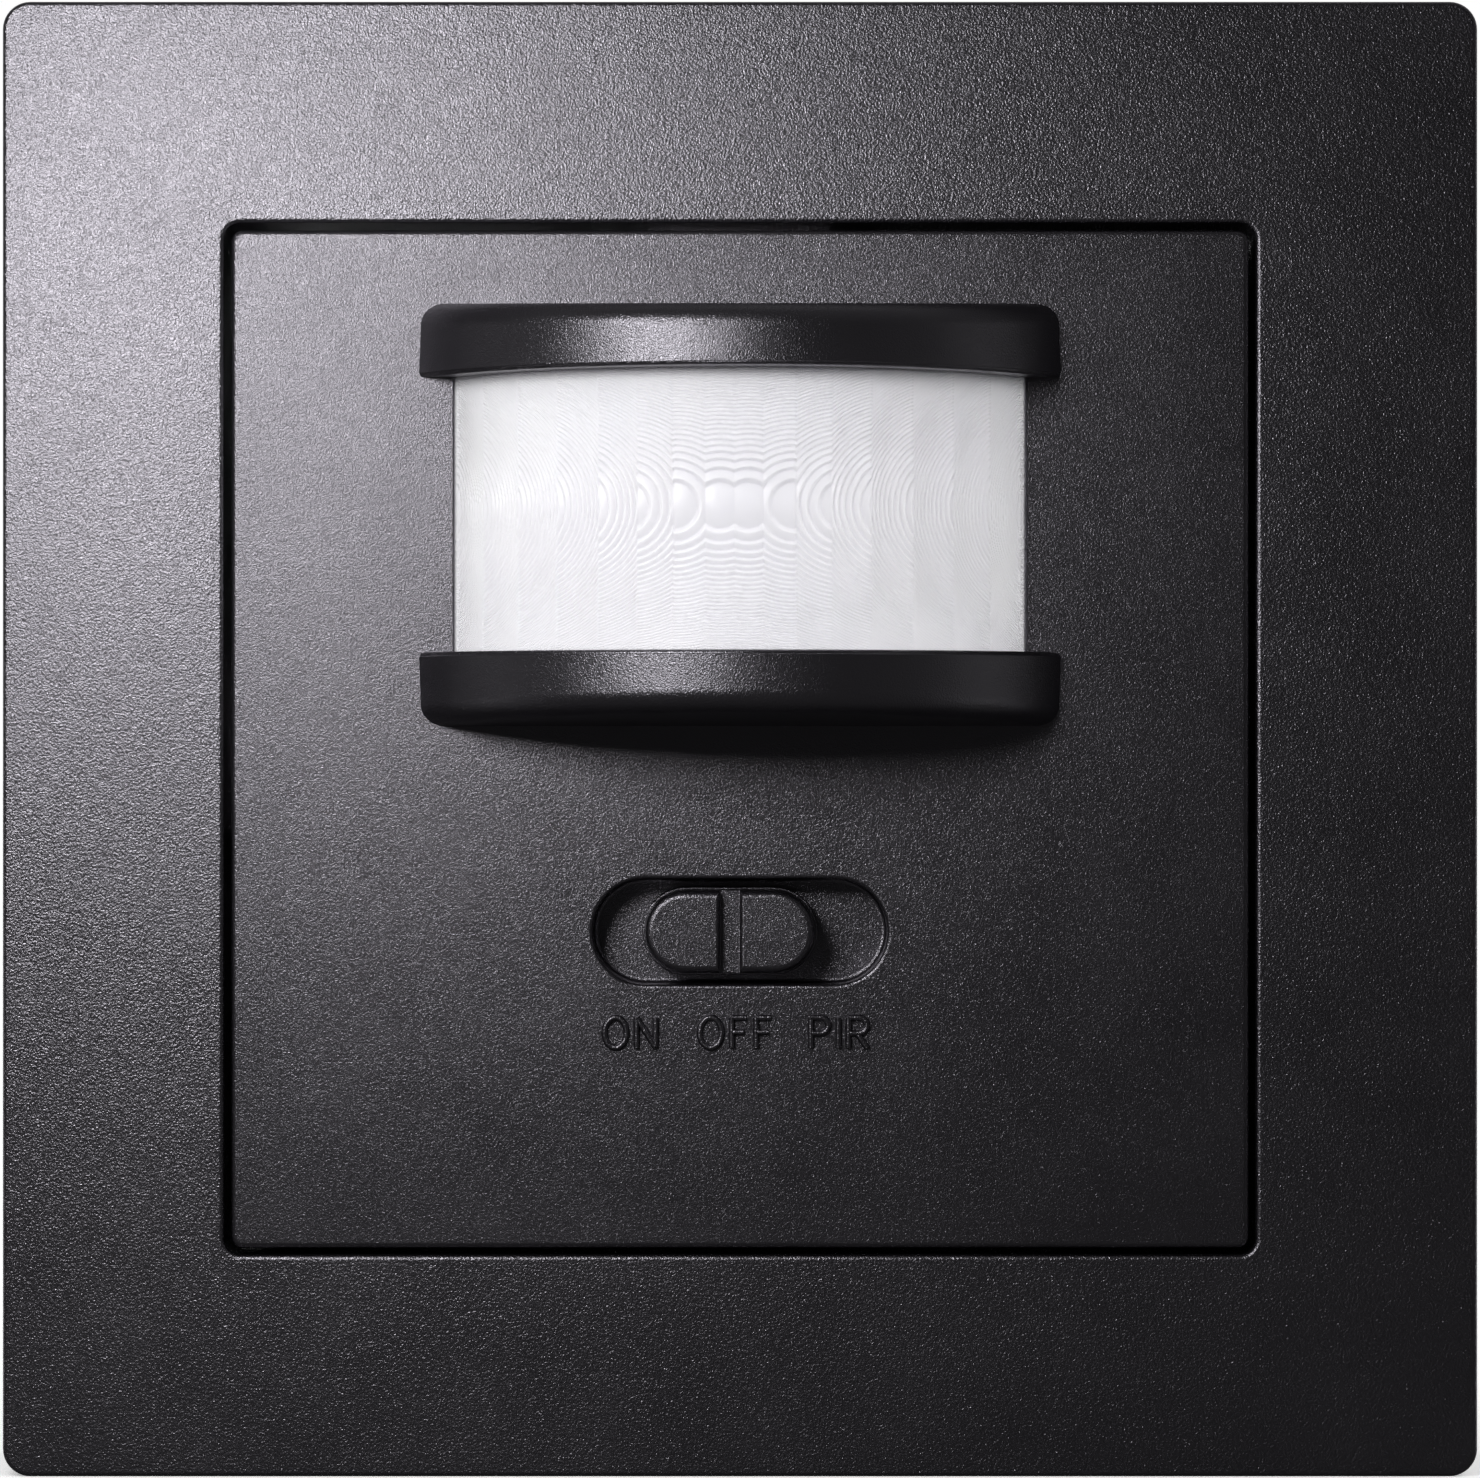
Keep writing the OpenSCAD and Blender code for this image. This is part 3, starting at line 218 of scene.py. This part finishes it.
# Milky plastic of the lens, which light goes into
LENS_COLOR = (0.87, 0.855, 0.90)
LENS_COOL = (0.86, 0.85, 0.905)
LENS_CLOUD = 6.0
LENS_ROUGHNESS = 0.3
LENS_PATCHES = (3.0, 0.28, 0.32)
LENS_GLOSS = 0.3
LENS_DEPTH = 0.7


def milky_plastic():
    material = new_material("lens_plastic_milky", LENS_COLOR, LENS_ROUGHNESS)
    shader = shader_of(material)
    shader.inputs["Specular IOR Level"].default_value = LENS_GLOSS
    shader.inputs["Subsurface Weight"].default_value = 1.0
    shader.inputs["Subsurface Radius"].default_value = (1.0, 1.0, 1.0)
    shader.inputs["Subsurface Scale"].default_value = LENS_DEPTH * MM
    vary_color(material, LENS_CLOUD, LENS_COLOR, LENS_COOL)
    vary_roughness(material, *LENS_PATCHES)
    return material


materials = {entry["slot"]: slot_material(entry) for entry in frame["record"]["materials"]}
materials["anthracite_plastic"] = moulded_plastic("anthracite_plastic", PLATE_GRAIN, PLATE_GLOSS)
materials["knob_plastic"] = moulded_plastic("knob_plastic", KNOB_GRAIN, PLATE_GLOSS)
materials["lens_plastic"] = milky_plastic()

for entry in frame["record"]["subparts"]:
    mesh = frame["nodes"][entry["node"]].data
    mesh.materials.clear()
    mesh.materials.append(materials[entry["material_slot"]])
frame_plastic = moulded_plastic("frame_plastic", FRAME_GRAIN, FRAME_GLOSS)
frame["nodes"]["cover_frame"].data.materials[0] = frame_plastic


# Pieces made here

ARC_STEPS = 24


def add_piece(name, mesh, slot_name):
    """Puts a new piece on the fixed part of the switch."""
    piece = bpy.data.objects.new(name, mesh)
    mesh.materials.append(materials[slot_name])
    bpy.context.scene.collection.objects.link(piece)
    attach(piece, SWITCH)
    return piece


def curve_mesh(curve):
    """The mesh of a curve that is used only for its shape."""
    holder = bpy.data.objects.new("shape", curve)
    bpy.context.scene.collection.objects.link(holder)
    shape = holder.evaluated_get(bpy.context.evaluated_depsgraph_get())
    mesh = bpy.data.meshes.new_from_object(shape)
    bpy.data.objects.remove(holder)
    bpy.data.curves.remove(curve)
    return mesh


def add_spline(curve, points, closed):
    spline = curve.splines.new("POLY")
    spline.points.add(len(points) - 1)
    spline.points.foreach_set("co", [value for x, z in points for value in (x, z, 0.0, 1.0)])
    spline.use_cyclic_u = closed


def arc(centre, radii, start, end, steps=ARC_STEPS):
    """Points along an ellipse between two angles in degrees."""
    turns = [math.radians(start + (end - start) * step / steps) for step in range(steps + 1)]
    return [(centre[0] + radii[0] * math.cos(turn), centre[1] + radii[1] * math.sin(turn))
            for turn in turns]


def upright(y, z):
    """Stands a flat shape up at a depth and a height, facing the front."""
    return Matrix.Translation((0, y, z)) @ Matrix.Rotation(math.radians(90), 4, "X")


# Fresnel lens: a curved shell with ring grooves, on a flat flange

LENS_AXIS_Y = FACE_Y + 8.0 * MM
LENS_WALL = 0.7 * MM
LENS_SEAT = 3.0 * MM
LENS_GAP = 0.1 * MM
STAKE_RADIUS = 0.9 * MM
FLANGE_BACK_Y = lens_high[1]
FLANGE_WALL = 0.8 * MM
LENS_RADIUS = LENS_AXIS_Y - lens_low[1]
LENS_MIDDLE_Z = (lens_low[2] + lens_high[2]) / 2
LENS_HEIGHT = lens_high[2] - lens_low[2] - 2 * (LENS_SEAT + LENS_GAP)
# Angles from the middle to where the shell ends and to where it goes behind the plate's face
LENS_REACH = math.acos((LENS_AXIS_Y - FLANGE_BACK_Y) / LENS_RADIUS)
LENS_SHOWN = math.acos((LENS_AXIS_Y - FACE_Y) / LENS_RADIUS)
# Height of the grooved part; above and below it the hoods hide the shell
LENS_BARE = 16.4 * MM
# The shell is drawn in at its sides, so that the dark gap beside it shows
SIDE_GAP = 0.12 * MM
DRAWN_IN = 1 - SIDE_GAP / (LENS_RADIUS * math.sin(LENS_SHOWN))
GRID_ACROSS = 640
GRID_UP = 380
SKIRT_STEPS = 8
HIDDEN_STEPS = 4
BACK_STEPS = 60

# The lens is cut into upright strips on each side of its middle, wider towards its ends
STRIP_MIDDLE = math.radians(-1.0)
STRIP_FIRST = math.radians(4.6)
STRIP_GROWTH = math.radians(0.41)
# Each strip is cut from a ring lens, whose centre lies farther out the farther out the strip is
RING_STEP = 0.8 * MM
RING_FARTHEST = 3.6 * MM
RING_LIFT = 0.15 * MM
FIRST_RING = 1.446 * MM
GROOVE_DEPTH = 0.12 * MM
GROOVE_RISE = 0.7
DEEPER_AT_ENDS = 1.0


def strip_edge(number):
    """Angle from the middle of the lens to the inner edge of a strip, counted from 0."""
    return STRIP_FIRST * number + STRIP_GROWTH * number ** 2


def groove_depth(angle, height):
    """Depth of the ring grooves at a plan angle and a height above the middle of the lens."""
    from_middle = np.abs(angle - STRIP_MIDDLE)
    spread = np.sqrt(STRIP_FIRST ** 2 + 4 * STRIP_GROWTH * from_middle)
    strip = np.floor((spread - STRIP_FIRST) / (2 * STRIP_GROWTH))
    strip_middle = (strip_edge(strip) + strip_edge(strip + 1)) / 2
    ring_centre = np.minimum(RING_STEP * strip, RING_FARTHEST)
    radius = np.hypot(LENS_RADIUS * (from_middle - strip_middle) - ring_centre, height - RING_LIFT)
    across = np.mod((radius / FIRST_RING) ** 2, 1.0)
    slope = np.minimum(across / GROOVE_RISE, (1 - across) / (1 - GROOVE_RISE))
    # Rings that are too narrow for the grid fade out
    ring_width = FIRST_RING ** 2 / (2 * np.maximum(radius, FIRST_RING / 2))
    fade = np.clip(ring_width / (2 * LENS_BARE / GRID_UP) - 1, 0.0, 1.0)
    bare = (np.abs(angle) < LENS_SHOWN) & (np.abs(height) < LENS_BARE / 2)
    depth = GROOVE_DEPTH * (1 + DEEPER_AT_ENDS * (angle / LENS_SHOWN) ** 2)
    return np.where(bare, depth * slope * fade, 0.0)


def lens_points(angle, height, radius):
    """Points of the shell, one row for each place on the grid."""
    sideways = DRAWN_IN * radius * np.sin(angle)
    places = sideways, LENS_AXIS_Y - radius * np.cos(angle), LENS_MIDDLE_Z + height
    return np.stack(places, axis=-1).reshape(-1, 3)


def quads(grid):
    """The four corners of each cell in a grid of point numbers."""
    corners = grid[:-1, :-1], grid[:-1, 1:], grid[1:, 1:], grid[1:, :-1]
    return np.stack(corners, axis=-1).reshape(-1, 4).tolist()


def lens_shell():
    """The grooved front as a grid, the smooth back as upright strips, and the four edges between them."""
    skirt = np.linspace(LENS_REACH, LENS_SHOWN, SKIRT_STEPS, endpoint=False)
    columns = np.concatenate((-skirt, np.linspace(-LENS_SHOWN, LENS_SHOWN, GRID_ACROSS), skirt[::-1]))
    hidden = np.linspace(LENS_HEIGHT, LENS_BARE, HIDDEN_STEPS, endpoint=False) / 2
    rows = np.concatenate((-hidden, np.linspace(-LENS_BARE, LENS_BARE, GRID_UP) / 2, hidden[::-1]))
    angle, height = np.meshgrid(columns, rows)
    front = lens_points(angle, height, LENS_RADIUS - groove_depth(angle, height))
    back_columns = np.linspace(-LENS_REACH, LENS_REACH, BACK_STEPS)
    back_angle, back_height = np.meshgrid(back_columns, np.array([-0.5, 0.5]) * LENS_HEIGHT)
    back = lens_points(back_angle, back_height, LENS_RADIUS - LENS_WALL)
    grid = np.arange(len(front)).reshape(len(rows), len(columns))
    rear = len(front) + np.arange(len(back)).reshape(2, BACK_STEPS)
    edges = [
        [*rear[0], *grid[0, ::-1]],
        [*grid[-1], *rear[1, ::-1]],
        [*grid[:, 0], *rear[::-1, 0]],
        [*grid[::-1, -1], *rear[:, -1]],
    ]
    faces = quads(grid) + quads(rear[::-1]) + edges
    mesh = bpy.data.meshes.new("lens_shell")
    mesh.from_pydata(np.concatenate((front, back)), [], faces)
    smooth = np.ones(len(faces), dtype=bool)
    smooth[-len(edges):] = False
    mesh.polygons.foreach_set("use_smooth", smooth)
    return mesh


def lens_flange():
    """The flat flange behind the plate, with its opening and the holes for four stakes."""
    curve = bpy.data.curves.new("flange", "CURVE")
    curve.dimensions = "2D"
    curve.fill_mode = "BOTH"
    curve.extrude = FLANGE_WALL / 2
    width = lens_high[0]
    height = (lens_high[2] - lens_low[2]) / 2
    border = LENS_SEAT + 2 * LENS_WALL
    for inset in (0.0, border):
        right, top = width - inset, height - inset
        add_spline(curve, [(-right, -top), (right, -top), (right, top), (-right, top)], closed=True)
    last_turn = 360 - 360 / ARC_STEPS
    for side in (-1, 1):
        for end in (-1, 1):
            stake = side * (width - LENS_SEAT / 2), end * (height - LENS_SEAT / 2)
            hole = arc(stake, (STAKE_RADIUS, STAKE_RADIUS), 0, last_turn, steps=ARC_STEPS - 1)
            add_spline(curve, hole, closed=True)
    mesh = curve_mesh(curve)
    mesh.transform(upright(FLANGE_BACK_Y - FLANGE_WALL / 2, LENS_MIDDLE_Z))
    return mesh


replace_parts(add_piece("lens_shell", lens_shell(), "lens_plastic"), "fresnel_lens")
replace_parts(add_piece("lens_flange", lens_flange(), "lens_plastic"), "fresnel_lens")


# Raised legend under the slider

LETTER_HEIGHT = 1.63
LETTER_GAP = 0.55
LEGEND_BASE = -16.73
STROKE_RADIUS = 0.18 * MM
STROKE_RISE = 1.6
STROKE_ROUNDING = 3
WORD_STARTS = {"ON": -7.35, "OFF": -2.19, "PIR": 3.84}
LETTER_WIDTHS = {"O": 1.19, "N": 1.03, "F": 0.77, "P": 0.94, "I": 0.0, "R": 1.0}
# Strokes of each letter in a box one unit wide and one unit high
STEM = [(0.0, 0.0), (0.0, 1.0)]
BOWL = [(0.0, 1.0), *arc((0.55, 0.74), (0.45, 0.26), 90, -90), (0.0, 0.48)]
STROKES = {
    "O": [arc((0.5, 0.5), (0.5, 0.5), 0, 360, steps=36)],
    "N": [STEM, [(0.0, 1.0), (1.0, 0.0)], [(1.0, 0.0), (1.0, 1.0)]],
    "F": [STEM, [(0.0, 1.0), (1.0, 1.0)], [(0.0, 0.52), (0.85, 0.52)]],
    "P": [STEM, BOWL],
    "I": [STEM],
    "R": [STEM, BOWL, [(0.45, 0.48), (1.0, 0.0)]],
}


def add_legend(word, start):
    """A word in raised round strokes, half sunk in the plate's face."""
    curve = bpy.data.curves.new("legend", "CURVE")
    curve.dimensions = "3D"
    curve.bevel_depth = STROKE_RADIUS
    curve.bevel_resolution = STROKE_ROUNDING
    curve.use_fill_caps = True
    left = start
    for letter in word:
        width = LETTER_WIDTHS[letter]
        for stroke in STROKES[letter]:
            points = [((left + x * width) * MM, (LEGEND_BASE + z * LETTER_HEIGHT) * MM)
                      for x, z in stroke]
            add_spline(curve, points, closed=False)
        left += width + LETTER_GAP
    mesh = curve_mesh(curve)
    mesh.transform(upright(FACE_Y, 0) @ Matrix.Diagonal((1, 1, STROKE_RISE, 1)))
    mesh.polygons.foreach_set("use_smooth", [True] * len(mesh.polygons))
    add_piece("legend_" + word.lower(), mesh, "anthracite_plastic")


for word, start in WORD_STARTS.items():
    add_legend(word, start)


# Camera

CAMERA_DISTANCE = 319 * MM
CAMERA_NEAR = 10 * MM
FOCAL_LENGTH = 143.1
SENSOR_WIDTH = 36.0


def add_camera():
    data = bpy.data.cameras.new("photo_camera")
    data.lens = FOCAL_LENGTH
    data.sensor_width = SENSOR_WIDTH
    data.clip_start = CAMERA_NEAR
    camera = bpy.data.objects.new("photo_camera", data)
    camera.location = (0.0, FACE_Y - CAMERA_DISTANCE, 0.0)
    camera.rotation_euler = (math.radians(90), 0.0, 0.0)
    bpy.context.scene.collection.objects.link(camera)
    bpy.context.scene.camera = camera


# Floor

FLOOR_REACH = 6000 * MM
FLOOR_ROUGHNESS = 0.9
FLOOR_PALE = (0.8, 0.8, 0.8)
FLOOR_DIM = (0.03, 0.03, 0.03)
FLOOR_GLOW = 0.25


def floor_paper():
    """Paper that is pale to the camera, and dark before the switch so that the gloss stays deep."""
    material = new_material("floor_paper", FLOOR_PALE, FLOOR_ROUGHNESS)
    tree = material.node_tree
    place = tree.nodes.new("ShaderNodeSeparateXYZ")
    tree.links.new(object_coordinates(material), place.inputs["Vector"])
    to_camera = tree.nodes.new("ShaderNodeLightPath").outputs["Is Camera Ray"]
    behind = map_range(tree, place.outputs["Y"], FACE_Y, 0.0, 0.0, 1.0)
    pale = math_node(tree, "MAXIMUM", behind, to_camera)
    color = mix_node(tree, pale, (*FLOOR_DIM, 1.0), (*FLOOR_PALE, 1.0), kind="RGBA")
    shader = shader_of(material)
    shader.inputs["Emission Color"].default_value = WHITE
    tree.links.new(color, shader.inputs["Base Color"])
    tree.links.new(math_node(tree, "MULTIPLY", to_camera, FLOOR_GLOW), shader.inputs["Emission Strength"])
    return material


def add_floor():
    corners = [(x * FLOOR_REACH, y * FLOOR_REACH, 0) for x, y in ((-1, -1), (1, -1), (1, 1), (-1, 1))]
    mesh = bpy.data.meshes.new("floor")
    mesh.from_pydata(corners, [], [(0, 1, 2, 3)])
    mesh.materials.append(floor_paper())
    floor = bpy.data.objects.new("floor", mesh)
    floor.location = (0, 0, BOTTOM_Z)
    bpy.context.scene.collection.objects.link(floor)


# Light

# The key lamp's place is from the middle of the face
KEY_PLACE = (-47, -95, 39)
KEY_SIZE = (36, 34)
KEY_POWER = 0.0605
# Fill light from straight ahead, from both sides, and added on the right, where it begins at RIGHT_FROM
# on the way from the front (0) to the side (1)
FILL_FRONT = 0.36
FILL_SIDE = 2.6
FILL_RIGHT = 1.6
RIGHT_FROM = 0.5
# The room as reflections show it, from straight ahead of the switch (0) to straight behind it (1)
ROOM_FRONT = 0.01
ROOM_SIDE = 0.075
ROOM_BACK = 1.0
ROOM_CURVE = ((0.08, ROOM_FRONT), (0.25, ROOM_SIDE), (0.5, ROOM_SIDE))


def add_softbox(name, place, size, power):
    """A soft lamp turned to the middle of the face."""
    data = bpy.data.lights.new(name, "AREA")
    data.shape = "RECTANGLE"
    data.size, data.size_y = (side * MM for side in size)
    data.energy = power
    lamp = bpy.data.objects.new(name, data)
    way = Vector(place)
    lamp.location = Vector((0.0, FACE_Y, 0.0)) + way * MM
    lamp.rotation_euler = (-way).to_track_quat("-Z", "Y").to_euler()
    lamp.visible_camera = False
    bpy.context.scene.collection.objects.link(lamp)


def fill_light(tree, sideways):
    """Light on surfaces: more from the sides than from the front, and most from the right."""
    squared = math_node(tree, "MULTIPLY", sideways, sideways)
    both_sides = map_range(tree, squared, 0.0, 1.0, FILL_FRONT, FILL_SIDE)
    right = map_range(tree, sideways, RIGHT_FROM, 1.0, 0.0, FILL_RIGHT)
    return math_node(tree, "ADD", both_sides, right)


def mirrored_room(tree, depth):
    """Light in reflections: dim in front of the switch and white behind it."""
    curve = tree.nodes.new("ShaderNodeFloatCurve")
    points = curve.mapping.curves[0].points
    points[0].location = (0.0, ROOM_FRONT)
    points[1].location = (1.0, ROOM_BACK)
    for way, strength in ROOM_CURVE:
        points.new(way, strength)
    curve.mapping.update()
    tree.links.new(map_range(tree, depth, -1.0, 1.0, 0.0, 1.0), curve.inputs["Value"])
    return curve.outputs["Value"]


def set_world():
    """Soft light all round, in front of a white background."""
    world = bpy.data.worlds.new("studio")
    bpy.context.scene.world = world
    world.use_nodes = True
    world.cycles.sampling_method = "NONE"
    tree = world.node_tree
    way = tree.nodes.new("ShaderNodeSeparateXYZ")
    tree.links.new(tree.nodes.new("ShaderNodeTexCoord").outputs["Generated"], way.inputs["Vector"])
    path = tree.nodes.new("ShaderNodeLightPath").outputs
    fill = fill_light(tree, way.outputs["X"])
    light = mix_node(tree, path["Is Glossy Ray"], fill, mirrored_room(tree, way.outputs["Y"]))
    seen = math_node(tree, "MAXIMUM", path["Is Camera Ray"], path["Is Transmission Ray"])
    background = tree.nodes["Background"]
    background.inputs["Color"].default_value = WHITE
    tree.links.new(mix_node(tree, seen, light, 1.0), background.inputs["Strength"])


add_camera()
add_floor()
set_world()
add_softbox("key_softbox", KEY_PLACE, KEY_SIZE, KEY_POWER)

bpy.context.scene.view_settings.view_transform = "Standard"
